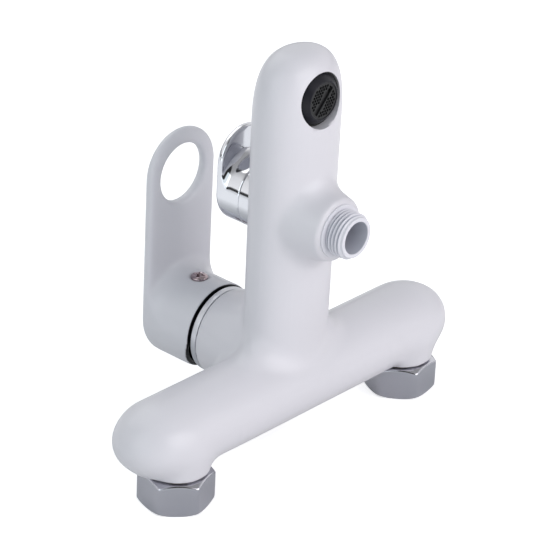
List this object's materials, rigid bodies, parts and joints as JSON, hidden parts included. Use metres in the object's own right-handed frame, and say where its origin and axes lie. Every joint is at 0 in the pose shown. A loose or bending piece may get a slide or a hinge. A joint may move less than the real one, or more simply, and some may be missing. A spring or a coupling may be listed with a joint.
{
  "type": "bath shower mixer",
  "caption": "Wall-mounted single-lever mixer: an oval column with an aerator spout, a side outlet for a hand shower, a diverter knob and union nuts on a bar",
  "frame": {"origin": "on the wall plane, where both union nuts end, midway between the two inlets", "axes": "+Z points away from the wall, +X along the inlet bar, +Y toward the lever and the diverter knob, -Y toward the aerator and the shower outlet"},
  "size_m": [0.2058, 0.1084, 0.1897],
  "materials": {
    "white_casting": "gloss white paint on cast brass",
    "white_lever": "gloss white paint on cast zinc",
    "chrome": "polished chrome plate",
    "black_plastic": "black acetal",
    "brass": "machined brass",
    "rubber": "black nitrile rubber",
    "fibre_washer": "black rubber flat washer",
    "ceramic": "lapped alumina ceramic",
    "grey_plastic": "grey glass-filled plastic",
    "steel": "stainless steel"
  },
  "bodies": {
    "body": {"body_casting": "white_casting", "left_tailpiece": "brass", "right_tailpiece": "brass", "left_tailpiece_ring": "rubber", "right_tailpiece_ring": "rubber", "left_inlet_washer": "fibre_washer", "right_inlet_washer": "fibre_washer", "cartridge_base": "grey_plastic", "cartridge_port_seals": "rubber", "fixed_ceramic_disc": "ceramic", "cartridge_casing": "grey_plastic", "retaining_nut": "brass", "cover_ring": "chrome", "glide_ring": "black_plastic", "shower_nipple": "white_casting", "shower_nipple_ring": "rubber", "diverter_seat_seal": "rubber", "diverter_fixed_disc": "ceramic", "diverter_bonnet": "brass", "bonnet_ring": "rubber", "diverter_collar": "chrome", "aerator_housing": "black_plastic", "aerator_nozzle": "black_plastic", "aerator_mesh": "black_plastic", "aerator_filter": "black_plastic", "aerator_gasket": "rubber"},
    "left_nut": {"left_union_nut": "chrome"},
    "right_nut": {"right_union_nut": "chrome"},
    "rotor": {"cartridge_rotor": "grey_plastic", "lever_pin": "steel"},
    "lever": {"lever_handle": "white_lever", "lever_stem": "brass", "lever_screw": "chrome"},
    "disc_slide": {"moving_ceramic_disc": "ceramic", "disc_carrier": "grey_plastic"},
    "diverter": {"diverter_knob": "chrome", "knob_screw": "steel", "diverter_spindle": "brass", "spindle_rings": "rubber", "spindle_clip": "steel", "diverter_moving_disc": "ceramic"}
  },
  "joints": [
    {"name": "lever_turn", "type": "hinge", "parent": "body", "child": "rotor", "pos_m": [0, 0.03352, 0.0391], "axis": [0, 1, 0], "range_deg": [-45, 45]},
    {"name": "lever_lift", "type": "hinge", "parent": "rotor", "child": "lever", "pos_m": [0, 0.03352, 0.0391], "axis": [-1, 0, 0], "range_deg": [0, 12]},
    {"name": "disc_travel", "type": "slide", "parent": "rotor", "child": "disc_slide", "axis": [0, 0, 1], "range_m": [0, 0.0013]},
    {"name": "diverter_turn", "type": "hinge", "parent": "body", "child": "diverter", "pos_m": [0, 0.03, 0.115], "axis": [0, 1, 0], "range_deg": [0, 90]},
    {"name": "left_nut_turn", "type": "hinge", "parent": "body", "child": "left_nut", "pos_m": [-0.075, 0, 0.0076], "axis": [0, 0, 1], "continuous": true},
    {"name": "right_nut_turn", "type": "hinge", "parent": "body", "child": "right_nut", "pos_m": [0.075, 0, 0.0076], "axis": [0, 0, 1], "continuous": true}
  ],
  "couplings": [
    {"joint": "disc_travel", "follows": "lever_lift", "m_per_rad": 0.006}
  ]
}
